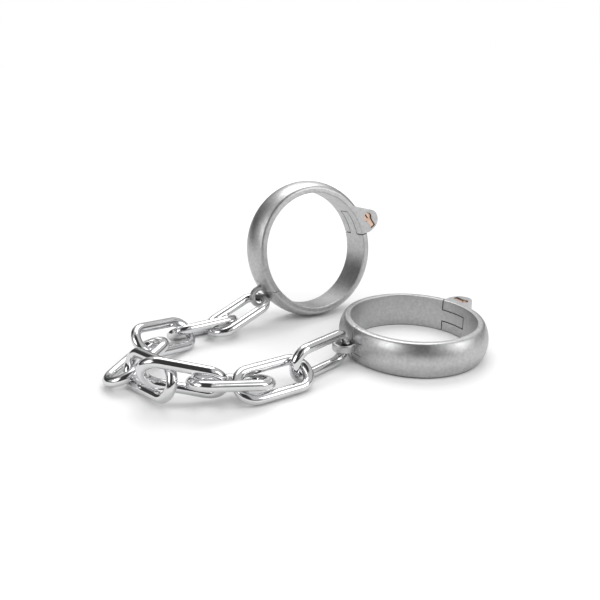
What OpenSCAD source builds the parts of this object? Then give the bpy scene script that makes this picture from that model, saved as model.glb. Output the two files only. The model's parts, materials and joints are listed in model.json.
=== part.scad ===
// Pair of rigid steel wrist cuffs joined by a chain of long oval links.
// Each cuff is two halves: one carries the chain lug, the hinge knuckle and the
// lock tongue, the other carries the hinge ears and the lock boss.
// The two cuffs are mirror images of each other.  All lengths are in millimetres.

/* [Cuff] */
// Half of the opening's short axis, along the line from hinge to lock
opening_half = 31.5; // [31:0.1:32]
// Width of the band along the wrist
band_width = 18; // [17.5:0.1:18.5]
// Thickness of the band at the middle of its width
band_thick = 6.1; // [6:0.05:6.4]
// Thickness left on the flat side rims of the band
rim_thick = 3.2; // [3.1:0.05:3.4]
// Rounding of the rim's outer corner
rim_round = 1.9; // [1.6:0.1:2.2]
// Rounding of the rim's inner corner
mouth_round = 0.6; // [0.4:0.05:0.8]
// Clearance between faces that slide past each other
gap = 0.28; // [0.2:0.02:0.3]

/* [Lock] */
// Radius of the rounded lock boss
boss_radius = 6; // [5.8:0.1:6.2]
// Depth of the lock boss along the wrist
boss_depth = 13.4; // [13.3:0.1:14]
// Radius of the round part of the lock cylinder
cylinder_radius = 2.4; // [2.35:0.01:2.45]
// Radius of the turning plug
plug_radius = 1.7; // [1.65:0.01:1.72]
// Depth of the lock cylinder's face below the boss face
cylinder_recess = 0.8; // [0.7:0.05:0.9]
// Width of the open seam where the two halves meet at the lock
lock_gap = 0.55; // [0.45:0.05:0.6]

/* [Chain] */
// Wire diameter of a link
wire = 5; // [4.9:0.05:5]
// Outside length of a link
link_length = 41; // [40.9:0.05:41.1]
// Outside width of a link
link_width = 20; // [19.9:0.05:20.1]
// Radius of the hole in a chain lug
lug_hole = 3.9; // [3.8:0.05:4.1]

/* [Hidden] */
half_band = band_width / 2;
// The oval opening is four tangent arcs on a 3-4-5 triangle of centres.
side_shift = 4;
end_shift = 3;
side_radius = opening_half + side_shift;
end_radius = side_radius - 5;
join_angle = atan2(end_shift, side_shift);
// The outer face is one arc from rim to rim.
dome_rise = band_thick - rim_thick;
dome_radius = (half_band * half_band + dome_rise * dome_rise) / (2 * dome_rise);
// The middle third of the band holds the tongues.
third = band_width / 6;
// Hinge pin centre and the radii struck from it.
hinge = [-opening_half - 2.6, 3.3];
pin_radius = 1.25;
pin_top = half_band - 2;
pin_foot = 1 - half_band;
ear_radius = 3.7;
knuckle_radius = 5.5;
seam_inner = [-opening_half, -1.6];
// Lock end.
lock_seam_angle = -23;
tongue_tip_angle = 3.5;
tongue_sweep = 68.7;
plug_at = [opening_half + 6.5, -6.6];
boss_at = plug_at + [0.2, -2.1];
boss_shoulder = [opening_half + 3, 4.5];
boss_floor = half_band - boss_depth;
tail_reach = 6.8;
tail_half = 1.35;
face_z = half_band - cylinder_recess;
mouth_depth = cylinder_recess + 0.5;
cam_thick = 1.6;
cam_z = -2.9;
cylinder_end = cam_z + cam_thick + 0.05;
cam_reach = 5.4;
chamber_count = 4;
chamber_step = 1.9;
chamber_first = 0.7;
chamber_radius = 0.65;
pin_slip = 0.05;
key_lengths = [1.06, 0.76, 1.16, 0.86];
cover_at = tail_reach - 0.4;
grub_at = [-10.9, 1.6];
grub_radius = 1;
// Chain lug.
lug_at = [-40.5, -0.6];
lug_radius = 6.1;
lug_thick = 4;
// Lay of the cuffs: the first stands on its edge, the second lies on its side.
stand_lean = 84;
stand_roll = 33;
lying_turn = -4;
standing_at = [0, 0, 39];
lying_at = [18, -73, half_band];
// Middle of the whole set on the table; it becomes the origin.
set_middle = [-35.9, -49.9, 0];
// Air left under the links.
link_lift = [0, 0, 0.05];
big = 90;
$fn = 96;

steel = [0.66, 0.66, 0.67];
bright = [0.82, 0.83, 0.85];
brass_tone = [0.83, 0.6, 0.44];
spring_tone = [0.5, 0.5, 0.52];

// ---------- shared shapes ----------

// Draws its children on one rim and, mirrored, on the other.
module both_rims() {
    children();
    mirror([0, 1, 0])
        children();
}

// Cross-section of the band: flat inner wall, arched outer face, rounded rims.
module band_section(r) {
    arch = [r + band_thick - dome_radius, 0];
    low = half_band - rim_round;
    reach = dome_radius - rim_round;
    outer = arch + [sqrt(reach * reach - low * low), low];
    inner = [r + mouth_round, half_band - mouth_round];
    difference() {
        intersection() {
            translate([r, -half_band])
                square([band_thick, band_width]);
            translate(arch)
                circle(dome_radius, $fn = 180);
        }
        both_rims() {
            // outer corner, beyond a round that runs into the arch
            difference() {
                polygon([
                    outer, [outer[0], half_band + 1], [r + band_thick + 1, half_band + 1],
                    arch + (outer - arch) * (dome_radius + 1) / reach
                ]);
                translate(outer)
                    circle(rim_round, $fn = 48);
            }
            // inner corner
            difference() {
                translate(inner - [2, 0])
                    square(2);
                translate(inner)
                    circle(mouth_round, $fn = 32);
            }
        }
    }
}

// One stretch of the oval band: a full ring about its own centre, cut to a wedge.
module band_arc(centre, r, wedge) {
    intersection() {
        translate([centre[0], centre[1], 0])
            rotate_extrude($fn = 180)
                band_section(r);
        slab(-half_band - 1, half_band + 1)
            polygon(wedge);
    }
}

// The four stretches meet on lines through the centres they are struck from.
module band() {
    far = 20 * [side_shift, end_shift];
    for (s = [-1, 1]) {
        side_centre = [-s * side_shift, 0];
        end_centre = [0, s * end_shift];
        edge_x = far[0] - side_shift;
        band_arc(side_centre, side_radius, [side_centre, [s * edge_x, -far[1]], [s * edge_x, far[1]]]);
        band_arc(end_centre, end_radius, [end_centre, [edge_x, s * far[1]], [-edge_x, s * far[1]]]);
    }
}

// Point where a line from p touches a circle, on the side chosen by turn (1 or -1).
function touch(p, c, r, turn) =
    let (d = p - c, reach = norm(d), a = atan2(d[1], d[0]), b = acos(r / reach))
    c + r * [cos(a + turn * b), sin(a + turn * b)];

function ray(a, d) = d * [cos(a), sin(a)];

// Plan of everything on the housing side of the two seams, grown by g at the
// hinge and by open at the lock.
module housing_plan(g, open) {
    start = seam_inner - [0, g];
    foot = touch(start, hinge, ear_radius + g, -1);
    aside = open * [sin(lock_seam_angle), -cos(lock_seam_angle)];
    polygon([
        start, [-20, start[1]], ray(lock_seam_angle, 20) + aside,
        ray(lock_seam_angle, big) + aside, [big, big], [-big, big],
        [-big, hinge[1]], hinge, foot
    ]);
    translate(hinge)
        circle(ear_radius + g);
}

// Plan of the lock tongue: a stretch of the band, faced by an arc about the hinge.
module tongue_plan(g) {
    intersection() {
        polygon([
            [0, 0], ray(lock_seam_angle - 4, big), [big, 0], ray(tongue_tip_angle, big) + [0, g],
            [20, 20 * tan(tongue_tip_angle) + g]
        ]);
        translate(hinge)
            circle(tongue_sweep + g, $fn = 240);
    }
}

module slab(z0, z1) {
    translate([0, 0, z0])
        linear_extrude(z1 - z0)
            children();
}

// Parts of the housing removed for the two tongues of the other half.
module tongue_slots() {
    slab(-third - gap, third + gap)
        translate(hinge)
            circle(knuckle_radius + gap);
    slab(-third - lock_gap, third + lock_gap)
        tongue_plan(lock_gap);
}

// Outline shared by the lock cylinder and the hole it slides into.
module keyhole(slip) {
    translate(plug_at)
        circle(cylinder_radius + slip);
    translate([plug_at[0] - tail_half - slip, plug_at[1] - tail_reach - slip])
        square([2 * (tail_half + slip), tail_reach + slip]);
}

// Outline of the lock boss: one round, with flanks that run back into the band.
module boss_plan() {
    crest = touch(boss_shoulder, boss_at, boss_radius, -1);
    translate(boss_at)
        circle(boss_radius);
    polygon([
        boss_at, boss_at - [0, boss_radius], [opening_half - 1, boss_at[1] - boss_radius],
        boss_shoulder - [4, 0], boss_shoulder, crest
    ]);
}

// ---------- the two halves of a cuff ----------

// Lug with a hole whose mouths are rounded, so a link swings in it freely.
module chain_lug() {
    edge = 0.8;
    mouth = 1.2;
    neck = lug_radius - 0.8;
    difference() {
        union() {
            translate([lug_at[0], lug_at[1], 0])
                rotate_extrude()
                    difference() {
                        translate([0, -lug_thick / 2])
                            square([lug_radius, lug_thick]);
                        for (s = [-1, 1])
                            difference() {
                                translate([lug_radius - edge, s * (lug_thick / 2 - edge / 2) - edge / 2])
                                    square([2 * edge, edge]);
                                translate([lug_radius - edge, s * (lug_thick / 2 - edge)])
                                    circle(edge, $fn = 32);
                            }
                    }
            slab(-lug_thick / 2, lug_thick / 2)
                polygon([
                    [lug_at[0], lug_at[1] + neck], [-opening_half - 4, lug_at[1] + neck],
                    [-opening_half - 4, lug_at[1] - neck], [lug_at[0], lug_at[1] - neck]
                ]);
        }
        translate([lug_at[0], lug_at[1], 0])
            rotate_extrude()
                difference() {
                    translate([0, -lug_thick])
                        square([lug_hole + mouth, 2 * lug_thick]);
                    for (s = [-1, 1])
                        translate([lug_hole + mouth, s * (lug_thick / 2 - mouth)])
                            circle(mouth, $fn = 40);
                    translate([lug_hole, -lug_thick / 2 + mouth])
                        square([2 * mouth, lug_thick - 2 * mouth]);
                }
        // keep the lug clear of the wrist opening
        slab(-half_band, half_band)
            translate([side_shift, 0])
                circle(side_radius + 1, $fn = 180);
    }
}

module cuff_lug_half() {
    difference() {
        union() {
            // body of the half, below both seams
            difference() {
                band();
                slab(-half_band - 1, half_band + 1)
                    housing_plan(gap, lock_gap);
            }
            // hinge knuckle and lock tongue, in the middle third
            intersection() {
                band();
                slab(-third, third) {
                    translate(hinge)
                        circle(knuckle_radius);
                    tongue_plan(0);
                }
            }
            chain_lug();
        }
        translate([hinge[0], hinge[1], -half_band])
            cylinder(r = pin_radius + 0.05, h = band_width);
        cam_sweep(0.25);
    }
}

// Space the cam needs between its two end positions.
module cam_sweep(slip) {
    slab(cam_z - slip, cam_z + cam_thick + slip)
        intersection() {
            translate(plug_at)
                circle(cam_reach + slip);
            translate([plug_at[0] - big, plug_at[1] - big])
                square([big + 1.35 + slip, big + 1.35 + slip]);
        }
}

module cuff_housing_half() {
    difference() {
        intersection() {
            union() {
                band();
                difference() {
                    slab(boss_floor, half_band)
                        boss_plan();
                    slab(-big, big)
                        translate([-side_shift, 0])
                            circle(side_radius + 1.5, $fn = 180);
                }
            }
            slab(-half_band - 1, half_band + 1)
                housing_plan(0, 0);
        }
        tongue_slots();
        slab(cylinder_end - 0.05, half_band + 1)
            keyhole(0.02);
        slab(cam_z - 0.05, half_band)
            keyhole(0.02);
        // the pocket's mouth is a little wider
        slab(half_band - mouth_depth, half_band + 1)
            keyhole(0.3);
        cam_sweep(0.1);
        // seat for the cam's clip
        translate([plug_at[0], plug_at[1], cam_z - 0.5])
            cylinder(r = 1.8, h = 1);
        // blind hole for the hinge pin, open on the far rim only
        translate([hinge[0], hinge[1], -half_band - 1])
            cylinder(r = pin_radius + 0.01, h = half_band + 1 + pin_top);
        // tapped hole for the screw that holds the lock cylinder
        translate([opening_half, grub_at[0], grub_at[1]])
            rotate([0, 90, 0])
                cylinder(r = grub_radius + 0.01, h = 6);
    }
}

module cuff_hinge_pin() {
    translate([hinge[0], hinge[1], pin_foot])
        cylinder(r = pin_radius, h = pin_top - 0.1 - pin_foot);
}

// ---------- the lock ----------

// Places its child on each pin chamber's axis, with +X pointing away from the plug.
module each_chamber() {
    for (i = [0 : chamber_count - 1]) {
        $chamber = i;
        translate([plug_at[0], plug_at[1], chamber_first + i * chamber_step])
            rotate([0, 0, -90])
                rotate([0, 90, 0])
                    children();
    }
}

module lock_cylinder() {
    difference() {
        slab(cylinder_end, face_z)
            keyhole(0);
        translate([plug_at[0], plug_at[1], cylinder_end - 1])
            cylinder(r = plug_radius + 0.04, h = band_width);
        translate([plug_at[0], plug_at[1], face_z - 0.6])
            cylinder(r = plug_radius + 0.24, h = 2);
        each_chamber()
            cylinder(r = chamber_radius, h = tail_reach + 1, $fn = 32);
        // seat of the strip that closes the chambers
        translate([plug_at[0] - 0.9, plug_at[1] - tail_reach - 1, cylinder_end + 0.5])
            cube([1.8, 1.4, face_z - cylinder_end - 1.2]);
        // dimple for the retaining screw
        translate([plug_at[0] - tail_half - 0.2, grub_at[0], grub_at[1]])
            rotate([0, 90, 0])
                cylinder(r1 = 1, r2 = 0.4, h = 0.5, $fn = 32);
    }
}

module lock_plug() {
    difference() {
        union() {
            translate([plug_at[0], plug_at[1], cylinder_end])
                cylinder(r = plug_radius, h = face_z - cylinder_end - 0.1);
            translate([plug_at[0], plug_at[1], face_z - 0.55])
                cylinder(r = plug_radius + 0.2, h = 0.45);
            // flattened stub that drives the cam
            slab(cam_z, cylinder_end + 0.1)
                intersection() {
                    translate(plug_at)
                        circle(0.95, $fn = 48);
                    translate(plug_at - [0.65, 1])
                        square([1.3, 2]);
                }
            translate([plug_at[0], plug_at[1], cam_z - 0.42])
                cylinder(r = 0.6, h = 1, $fn = 48);
        }
        // keyway
        translate([plug_at[0] - 0.4, plug_at[1] - 0.9, chamber_first - 1.3])
            cube([0.8, 3.4, band_width]);
        // chambers for the key pins
        each_chamber()
            cylinder(r = chamber_radius, h = tail_reach, $fn = 32);
    }
}

module lock_cam() {
    difference() {
        slab(cam_z, cam_z + cam_thick) {
            translate(plug_at)
                circle(1.9);
            intersection() {
                translate(plug_at)
                    circle(cam_reach);
                translate(plug_at - [1.2, cam_reach + 1])
                    square([2.4, cam_reach + 1]);
            }
        }
        slab(cam_z - 1, cam_z + cam_thick + 1)
            intersection() {
                translate(plug_at)
                    circle(0.97, $fn = 48);
                translate(plug_at - [0.67, 1])
                    square([1.34, 2]);
            }
    }
}

module cam_clip() {
    difference() {
        translate([plug_at[0], plug_at[1], cam_z - 0.4])
            cylinder(r = 1.5, h = 0.38, $fn = 48);
        translate([plug_at[0], plug_at[1], cam_z - 1])
            cylinder(r = 0.61, h = 2, $fn = 48);
        // open side, so it snaps onto the stub
        translate([plug_at[0] - 0.35, plug_at[1], cam_z - 1])
            cube([0.7, 3, 2]);
    }
}

module key_pins() {
    each_chamber()
        translate([0, 0, plug_radius - 0.1 - key_lengths[$chamber]])
            cylinder(r = chamber_radius - pin_slip, h = key_lengths[$chamber], $fn = 32);
}

module driver_pins() {
    each_chamber()
        translate([0, 0, plug_radius + 0.1])
            cylinder(r = chamber_radius - pin_slip, h = 1.8, $fn = 32);
}

// Level cut through a coil spring's wire: a crescent, long because the coil climbs slowly.
module coil_cut(coil, wire_radius, pitch) {
    span = wire_radius * 360 / pitch;
    polygon([
        for (i = [0 : 9])
            let (u = 36 * i)
            (coil + wire_radius * cos(u)) * [cos(span * sin(u)), sin(span * sin(u))]
    ]);
}

// Coil springs, one in each chamber.
module tumbler_springs() {
    turns = 4;
    low = plug_radius + 1.95;
    height = cover_at - 0.06 - low;
    each_chamber()
        translate([0, 0, low])
            linear_extrude(height, twist = -360 * turns, slices = 12 * turns, $fn = 10)
                coil_cut(0.42, 0.12, height / turns);
}

module spring_cover() {
    translate([plug_at[0] - 0.88, plug_at[1] - tail_reach, cylinder_end + 0.52])
        cube([1.76, 0.38, face_z - cylinder_end - 1.24]);
}

// Headless socket screw, reached through the tongue's slot when the cuff is open.
module cylinder_screw() {
    length = 2.5;
    tip = plug_at[0] - tail_half + 0.08;
    translate([tip - length, grub_at[0], grub_at[1]])
        rotate([0, 90, 0])
            difference() {
                union() {
                    cylinder(r = grub_radius, h = length - 0.4, $fn = 48);
                    translate([0, 0, length - 0.4])
                        cylinder(r1 = 0.8, r2 = 0.45, h = 0.4, $fn = 48);
                }
                translate([0, 0, -0.1])
                    cylinder(r = 0.52, h = 1.1, $fn = 6);
            }
}

// ---------- the chain ----------

bend_radius = (link_width - wire) / 2;
straight = link_length - link_width;

// One welded link: two half rings joined by two straight bars.
module chain_link() {
    for (s = [-1, 1]) {
        translate([s * straight / 2, 0, 0])
            rotate([0, 0, -90 * s])
                rotate_extrude(angle = 180)
                    translate([bend_radius, 0])
                        circle(d = wire, $fn = 48);
        translate([-straight / 2, s * bend_radius, 0])
            rotate([0, 90, 0])
                cylinder(d = wire, h = straight, $fn = 48);
    }
}

// Lay of each link on the table: middle x, y, z, then heading, climb and roll in degrees.
chain_lay = [
    [-50, -6.5, 10.5, -169, -17, 175],
    [-70.5, -5.5, 6.5, -177, 0, 32],
    [-96, -15.5, 10, -155, 10, 135],
    [-116, -32, 8, -146, -10, 197],
    [-117.5, -54.5, 10.5, -78, 5, 71],
    [-108, -71, 13.5, -28, -13, 116],
    [-89, -79.5, 10, -7, -10, -13],
    [-69, -81.5, 7.5, 2, 0, 36],
    [-40, -75.5, 10, 16, 0, 97]
];

module laid_link(i) {
    lay = chain_lay[i];
    translate([lay[0], lay[1], lay[2]] - set_middle + link_lift)
        rotate([0, 0, lay[3]])
            rotate([0, -lay[4], 0])
                rotate([lay[5], 0, 0])
                    color(bright)
                        chain_link();
}

// ---------- placing ----------

module standing() {
    translate(standing_at - set_middle)
        rotate([stand_lean, 0, 0])
            rotate([0, 0, stand_roll])
                children();
}

module lying() {
    translate(lying_at - set_middle)
        rotate([0, 0, lying_turn])
            mirror([0, 1, 0])
                children();
}

// ---------- named parts ----------

module left_lug_half() standing() color(steel) cuff_lug_half();
module left_housing_half() standing() color(steel) cuff_housing_half();
module left_hinge_pin() standing() color(steel) cuff_hinge_pin();
module left_lock_cylinder() standing() color(brass_tone) lock_cylinder();
module left_lock_plug() standing() color(brass_tone) lock_plug();
module left_lock_cam() standing() color(steel) lock_cam();
module left_cam_clip() standing() color(spring_tone) cam_clip();
module left_key_pins() standing() color(brass_tone) key_pins();
module left_driver_pins() standing() color(brass_tone) driver_pins();
module left_tumbler_springs() standing() color(spring_tone) tumbler_springs();
module left_spring_cover() standing() color(brass_tone) spring_cover();
module left_cylinder_screw() standing() color(steel) cylinder_screw();

module right_lug_half() lying() color(steel) cuff_lug_half();
module right_housing_half() lying() color(steel) cuff_housing_half();
module right_hinge_pin() lying() color(steel) cuff_hinge_pin();
module right_lock_cylinder() lying() color(brass_tone) lock_cylinder();
module right_lock_plug() lying() color(brass_tone) lock_plug();
module right_lock_cam() lying() color(steel) lock_cam();
module right_cam_clip() lying() color(spring_tone) cam_clip();
module right_key_pins() lying() color(brass_tone) key_pins();
module right_driver_pins() lying() color(brass_tone) driver_pins();
module right_tumbler_springs() lying() color(spring_tone) tumbler_springs();
module right_spring_cover() lying() color(brass_tone) spring_cover();
module right_cylinder_screw() lying() color(steel) cylinder_screw();

module link_1() laid_link(0);
module link_2() laid_link(1);
module link_3() laid_link(2);
module link_4() laid_link(3);
module link_5() laid_link(4);
module link_6() laid_link(5);
module link_7() laid_link(6);
module link_8() laid_link(7);
module link_9() laid_link(8);

left_lug_half();
left_housing_half();
left_hinge_pin();
left_lock_cylinder();
left_lock_plug();
left_lock_cam();
left_cam_clip();
left_key_pins();
left_driver_pins();
left_tumbler_springs();
left_spring_cover();
left_cylinder_screw();
right_lug_half();
right_housing_half();
right_hinge_pin();
right_lock_cylinder();
right_lock_plug();
right_lock_cam();
right_cam_clip();
right_key_pins();
right_driver_pins();
right_tumbler_springs();
right_spring_cover();
right_cylinder_screw();
link_1();
link_2();
link_3();
link_4();
link_5();
link_6();
link_7();
link_8();
link_9();
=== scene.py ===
import json
import math

import bpy
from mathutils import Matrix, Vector

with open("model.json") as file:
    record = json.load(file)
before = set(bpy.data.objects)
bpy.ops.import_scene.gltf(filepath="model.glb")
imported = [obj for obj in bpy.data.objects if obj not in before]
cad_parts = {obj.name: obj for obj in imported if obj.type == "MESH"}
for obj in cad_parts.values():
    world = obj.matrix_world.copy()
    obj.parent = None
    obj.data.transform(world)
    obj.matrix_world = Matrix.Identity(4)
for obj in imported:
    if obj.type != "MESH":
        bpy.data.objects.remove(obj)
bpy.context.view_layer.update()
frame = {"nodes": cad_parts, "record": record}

MM = 0.001
MICRON = 1e-6
WHITE = (1.0, 1.0, 1.0)

# Where the camera stands: degrees round the set, degrees above the table, and metres.
CAMERA_AZIMUTH = -30.9
CAMERA_ELEVATION = 19.7
CAMERA_DISTANCE = 0.438
# The point on the table that the camera looks at, from the middle of the set.
CAMERA_AIM = (0.0423, 0.0712, 0.0)
# Focal length and sensor width, in millimetres, and the nearest distance shown, in metres.
CAMERA_LENS = 42.0
CAMERA_SENSOR = 36.0
CAMERA_NEAREST = 0.01

# Softboxes: name, place, width and height, power, and whether they show in the metal.
# table_fill only lights the table in front of the set.
LIGHTS = (
    ("top_box", (0.3, 0.45, 0.95), (0.8, 0.7), 5.5, True),
    ("left_box", (-0.85, -0.1, 0.45), (0.5, 0.5), 1.8, True),
    ("right_box", (0.6, -0.75, 0.45), (0.5, 0.7), 2.4, True),
    ("table_fill", (-0.2, -0.5, 0.9), (1.2, 1.0), 5.0, False),
)
LIGHTS_AIM = (0.0, 0.0, 0.03)

FLOOR_SIZE = 12.0
FLOOR_TONES = ((0.86, 0.86, 0.86), (0.88, 0.88, 0.88))
FLOOR_MARKS_MM = 400.0
FLOOR_ROUGHNESS = 0.8
# Paleness of the table as the metal sees it.
FLOOR_IN_METAL = (0.77, 0.77, 0.77)
# Light the table adds for the camera near the set and far off, and where it starts and ends rising.
FLOOR_LIFT = (0.05, 1.0)
FLOOR_LIFT_REACH = (0.25, 1.2)

# The studio as the metal sees it, by direction. Each pair is where a change starts and ends,
# on a scale from -1 to 1: WALL_RISE upwards, RIGHT and LEFT across, FRONT and BACK to the camera.
HORIZON_LEVEL = 0.06
WALL_LEVEL = 0.6
WALL_RISE = (0.08, 0.4)
# The unlit gap above and around the camera.
GAP_LEVEL = 0.05
GAP_LEFT = (-0.55, -0.35)
GAP_RIGHT = (0.3, 0.45)
GAP_BACK = (-0.05, 0.1)
# The dark flag that stands behind the set on its left.
FLAG_RIGHT = (-0.75, -0.35)
FLAG_FRONT = (-0.3, 0.1)

# Colours of the metals.
SATIN_TONES = ((0.47, 0.47, 0.475), (0.62, 0.62, 0.625))
SATIN_CLOUD = (0.70, 0.70, 0.70)
SATIN_WORN = (0.80, 0.80, 0.81)
# Painted shade: the near black laid into the narrow seams, where shade falls between the parts.
SEAM_PAINTED_SHADE = (0.02, 0.02, 0.021)
POLISHED_TONES = ((0.71, 0.715, 0.72), (0.81, 0.81, 0.82))
BRASS_TONES = ((0.90, 0.66, 0.53), (0.76, 0.52, 0.40))
MACHINED_TONES = ((0.42, 0.42, 0.43), (0.55, 0.55, 0.56))
SPRING_TONES = ((0.34, 0.34, 0.36), (0.46, 0.46, 0.48))


# ---------- helpers for node trees ----------

class Nodes:
    """A node tree, with short calls that add nodes and feed their sockets."""

    def __init__(self, tree):
        self.tree = tree
        tree.nodes.clear()

    def add(self, kind, **settings):
        node = self.tree.nodes.new("ShaderNode" + kind)
        for name, value in settings.items():
            setattr(node, name, value)
        return node

    def feed(self, socket, value):
        """Gives a socket a number, a direction, a colour or another node's output."""
        if isinstance(value, bpy.types.NodeSocket):
            self.tree.links.new(value, socket)
        elif socket.type == "RGBA":
            socket.default_value = (*value, 1.0)
        else:
            socket.default_value = value

    def span(self, value, low, high, start=0.3, end=0.7, shape="LINEAR"):
        """value from start to end, mapped to low to high."""
        node = self.add("MapRange", interpolation_type=shape)
        self.feed(node.inputs["Value"], value)
        for name, number in (("From Min", start), ("From Max", end), ("To Min", low), ("To Max", high)):
            self.feed(node.inputs[name], number)
        return node.outputs[0]

    def rise(self, value, start, end):
        """A smooth step: 0 up to start and 1 from end on."""
        return self.span(value, 0.0, 1.0, start, end, "SMOOTHSTEP")

    def fall(self, value, start, end):
        """A smooth step: 1 up to start and 0 from end on."""
        return self.span(value, 1.0, 0.0, start, end, "SMOOTHSTEP")

    def calc(self, operation, first, second):
        node = self.add("Math", operation=operation)
        self.feed(node.inputs[0], first)
        self.feed(node.inputs[1], second)
        return node.outputs[0]

    def dot(self, first, second):
        """How far two directions agree, from -1 to 1."""
        node = self.add("VectorMath", operation="DOT_PRODUCT")
        self.feed(node.inputs[0], first)
        self.feed(node.inputs[1], second)
        return node.outputs["Value"]


class Shader(Nodes):
    """A material's node tree."""

    def __init__(self, name):
        self.material = bpy.data.materials.new(name)
        self.material.use_nodes = True
        super().__init__(self.material.node_tree)
        self.surface = self.add("BsdfPrincipled")
        output = self.add("OutputMaterial")
        self.feed(output.inputs["Surface"], self.surface.outputs[0])
        self.place = self.add("TexCoord").outputs["Object"]

    def noise(self, size_mm, detail=2.0, stretch=(1.0, 1.0, 1.0)):
        """Noise with features of about size_mm, longer along the axes where stretch is over 1."""
        mapping = self.add("Mapping")
        self.feed(mapping.inputs["Scale"], [1.0 / factor for factor in stretch])
        self.feed(mapping.inputs["Vector"], self.place)
        node = self.add("TexNoise")
        self.feed(node.inputs["Scale"], 1.0 / (size_mm * MM))
        self.feed(node.inputs["Detail"], detail)
        self.feed(node.inputs["Roughness"], 0.55)
        self.feed(node.inputs["Vector"], mapping.outputs[0])
        return node.outputs["Fac"]

    def mix(self, factor, first, second):
        """A colour that goes from first to second as factor goes from 0 to 1."""
        node = self.add("Mix", data_type="RGBA")
        self.feed(node.inputs[0], factor)
        self.feed(node.inputs[6], first)
        self.feed(node.inputs[7], second)
        return node.outputs[2]

    def rounded(self, radius_mm):
        """The surface direction with its sharp edges rounded off."""
        node = self.add("Bevel", samples=6)
        self.feed(node.inputs["Radius"], radius_mm * MM)
        return node.outputs[0]

    def edges(self, radius_mm):
        """About 1 within radius_mm of a sharp edge and 0 elsewhere."""
        sharp = self.add("NewGeometry").outputs["Normal"]
        return self.span(self.dot(self.rounded(radius_mm), sharp), 1.0, 0.0, 0.86, 0.995)

    def crevice_shade(self, reach_mm):
        """About 1 deep in a seam narrower than reach_mm and 0 on open faces; it masks the painted shade
        in the seams.
        """
        node = self.add("AmbientOcclusion", samples=8)
        self.feed(node.inputs["Distance"], reach_mm * MM)
        return self.span(node.outputs["AO"], 1.0, 0.0, 0.15, 0.6)

    def bump(self, height, depth_um, base=None):
        """The surface direction with bumps of depth_um, on top of base where one is given."""
        node = self.add("Bump")
        self.feed(node.inputs["Strength"], 1.0)
        self.feed(node.inputs["Distance"], depth_um * MICRON)
        self.feed(node.inputs["Height"], height)
        if base is not None:
            self.feed(node.inputs["Normal"], base)
        return node.outputs[0]

    def finish(self, color, roughness, **values):
        """Feeds the surface. Other inputs are named with _ for each space."""
        self.feed(self.surface.inputs["Base Color"], color)
        self.feed(self.surface.inputs["Roughness"], roughness)
        for name, value in values.items():
            self.feed(self.surface.inputs[name.replace("_", " ")], value)
        return self.material

    def metal(self, color, roughness, normal):
        return self.finish(color, roughness, Metallic=1.0, Normal=normal)


# ---------- materials ----------

def satin_steel(name):
    """Bead-blasted stainless steel: soft sheen, fine grain, brighter on handled edges."""
    s = Shader(name)
    grain = s.noise(0.35, 3.0)
    mottle = s.noise(1.6, 3.0)
    cloud = s.noise(14.0, 2.0)
    worn = s.edges(0.5)
    steel = s.mix(s.span(mottle, 0.0, 1.0), *SATIN_TONES)
    steel = s.mix(s.span(cloud, 0.0, 0.35), steel, SATIN_CLOUD)
    steel = s.mix(s.calc("MULTIPLY", worn, 0.5), steel, SATIN_WORN)
    # Painted shade: the colour darkens to near black deep in the seams, where shade falls.
    steel = s.mix(s.crevice_shade(2.0), steel, SEAM_PAINTED_SHADE)
    rough = s.calc("ADD", s.span(grain, 0.34, 0.48), s.span(cloud, -0.03, 0.03))
    rough = s.calc("SUBTRACT", rough, s.calc("MULTIPLY", worn, 0.08))
    return s.metal(steel, rough, s.bump(mottle, 18.0, s.bump(grain, 7.0, s.rounded(0.35))))


def polished_steel(name):
    """Tumble-polished chain wire: near mirror, with fine marks and a slight ripple."""
    s = Shader(name)
    marks = s.noise(0.5, 3.0, (1.0, 1.0, 4.0))
    ripple = s.noise(5.0, 1.0)
    smudge = s.noise(9.0, 3.0)
    steel = s.mix(s.span(smudge, 0.0, 1.0), *POLISHED_TONES)
    rough = s.calc("ADD", s.span(marks, 0.05, 0.10), s.span(smudge, 0.0, 0.06))
    return s.metal(steel, rough, s.bump(marks, 0.5, s.bump(ripple, 14.0)))


def lock_brass(name):
    """Copper-toned brass with turning marks and a little tarnish."""
    s = Shader(name)
    marks = s.noise(0.25, 2.0)
    tarnish = s.noise(1.8, 3.0)
    brass = s.mix(s.span(tarnish, 0.0, 1.0), *BRASS_TONES)
    return s.metal(brass, s.span(tarnish, 0.28, 0.42), s.bump(marks, 4.0, s.rounded(0.12)))


def machined_steel(name):
    """Bare machined steel of the cam and the screw."""
    s = Shader(name)
    marks = s.noise(0.3, 2.0, (1.0, 3.0, 1.0))
    steel = s.mix(s.span(marks, 0.0, 1.0), *MACHINED_TONES)
    return s.metal(steel, s.span(marks, 0.25, 0.4), s.bump(marks, 5.0))


def spring_wire(name):
    """Drawn spring wire, dull with fine marks."""
    s = Shader(name)
    marks = s.noise(0.15, 2.0)
    steel = s.mix(s.span(marks, 0.0, 1.0), *SPRING_TONES)
    return s.metal(steel, s.span(marks, 0.3, 0.45), s.bump(marks, 2.0))


MATERIALS = {
    "cuff_steel": satin_steel,
    "link_steel": polished_steel,
    "lock_brass": lock_brass,
    "pin_steel": machined_steel,
    "spring_steel": spring_wire,
}


def dress_nodes():
    """Gives every CAD node the material of its slot."""
    made = {slot: build(slot) for slot, build in MATERIALS.items()}
    for part in frame["record"]["subparts"]:
        node = frame["nodes"][part["node"]]
        node.data.materials.clear()
        node.data.materials.append(made[part["material_slot"]])


# ---------- floor, light and camera ----------

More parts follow.
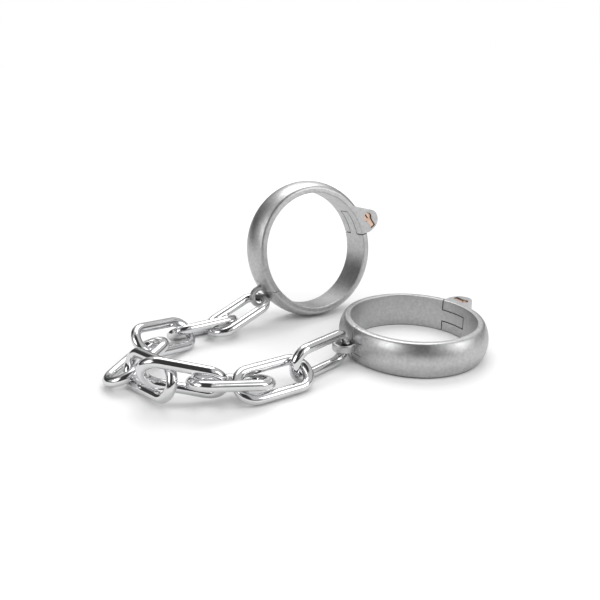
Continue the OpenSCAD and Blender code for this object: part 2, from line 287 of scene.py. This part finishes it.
def floor_white():
    """White table top. The metal sees it darker than the camera does, as under a studio tent."""
    s = Shader("floor_white")
    seen = s.add("LightPath").outputs["Is Camera Ray"]
    tone = s.mix(s.noise(FLOOR_MARKS_MM), *FLOOR_TONES)
    # Far from the set the table runs into the white background.
    distance = s.add("VectorMath", operation="LENGTH")
    s.feed(distance.inputs[0], s.place)
    lift = s.span(distance.outputs["Value"], *FLOOR_LIFT, *FLOOR_LIFT_REACH)
    return s.finish(
        s.mix(seen, FLOOR_IN_METAL, tone),
        FLOOR_ROUGHNESS,
        Specular_IOR_Level=0.0,
        Emission_Color=WHITE,
        Emission_Strength=s.calc("MULTIPLY", seen, lift),
    )


def add_floor():
    half = FLOOR_SIZE / 2
    corners = [(-half, -half, 0), (half, -half, 0), (half, half, 0), (-half, half, 0)]
    mesh = bpy.data.meshes.new("floor")
    mesh.from_pydata(corners, [], [(0, 1, 2, 3)])
    mesh.materials.append(floor_white())
    floor = bpy.data.objects.new("floor", mesh)
    bpy.context.scene.collection.objects.link(floor)


def aim(thing, place, target):
    """Puts a lamp or camera at place, facing target."""
    thing.location = place
    thing.rotation_euler = (Vector(target) - Vector(place)).to_track_quat("-Z", "Y").to_euler()
    bpy.context.scene.collection.objects.link(thing)


def add_light(name, place, size, power, in_metal):
    light = bpy.data.lights.new(name, "AREA")
    light.shape = "RECTANGLE"
    light.size, light.size_y = size
    light.energy = power
    lamp = bpy.data.objects.new(name, light)
    lamp.visible_glossy = in_metal
    aim(lamp, place, LIGHTS_AIM)


def add_world():
    """White to the camera. To the metal, pale walls with an unlit gap above the camera."""
    world = bpy.data.worlds.new("studio")
    bpy.context.scene.world = world
    world.use_nodes = True
    w = Nodes(world.node_tree)
    toward = w.add("TexCoord").outputs["Generated"]
    azimuth = math.radians(CAMERA_AZIMUTH)
    right = w.dot(toward, (math.cos(azimuth), math.sin(azimuth), 0.0))
    front = w.dot(toward, (math.sin(azimuth), -math.cos(azimuth), 0.0))
    up = w.dot(toward, (0.0, 0.0, 1.0))

    across = w.calc("MULTIPLY", w.rise(right, *GAP_LEFT), w.fall(right, *GAP_RIGHT))
    gap = w.calc("MULTIPLY", across, w.rise(front, *GAP_BACK))
    flag = w.calc("MULTIPLY", w.fall(right, *FLAG_RIGHT), w.fall(front, *FLAG_FRONT))
    wall = w.span(up, HORIZON_LEVEL, WALL_LEVEL, *WALL_RISE, "SMOOTHSTEP")
    level = w.add("Mix")
    w.feed(level.inputs[0], w.calc("MAXIMUM", gap, flag))
    w.feed(level.inputs[2], wall)
    w.feed(level.inputs[3], GAP_LEVEL)

    studio = w.add("Background")
    w.feed(studio.inputs["Color"], WHITE)
    w.feed(studio.inputs["Strength"], level.outputs[0])
    backdrop = w.add("Background")
    w.feed(backdrop.inputs["Color"], WHITE)
    pick = w.add("MixShader")
    w.feed(pick.inputs[0], w.add("LightPath").outputs["Is Camera Ray"])
    w.feed(pick.inputs[1], studio.outputs[0])
    w.feed(pick.inputs[2], backdrop.outputs[0])
    w.feed(w.add("OutputWorld").inputs["Surface"], pick.outputs[0])


def add_camera():
    data = bpy.data.cameras.new("camera")
    data.lens = CAMERA_LENS
    data.sensor_width = CAMERA_SENSOR
    data.clip_start = CAMERA_NEAREST
    camera = bpy.data.objects.new("camera", data)
    azimuth = math.radians(CAMERA_AZIMUTH)
    elevation = math.radians(CAMERA_ELEVATION)
    away = Vector((
        math.sin(azimuth) * math.cos(elevation),
        -math.cos(azimuth) * math.cos(elevation),
        math.sin(elevation),
    ))
    aim(camera, Vector(CAMERA_AIM) + CAMERA_DISTANCE * away, CAMERA_AIM)
    bpy.context.scene.camera = camera


dress_nodes()
add_floor()
add_world()
for light_settings in LIGHTS:
    add_light(*light_settings)
add_camera()
bpy.context.scene.view_settings.view_transform = "Standard"
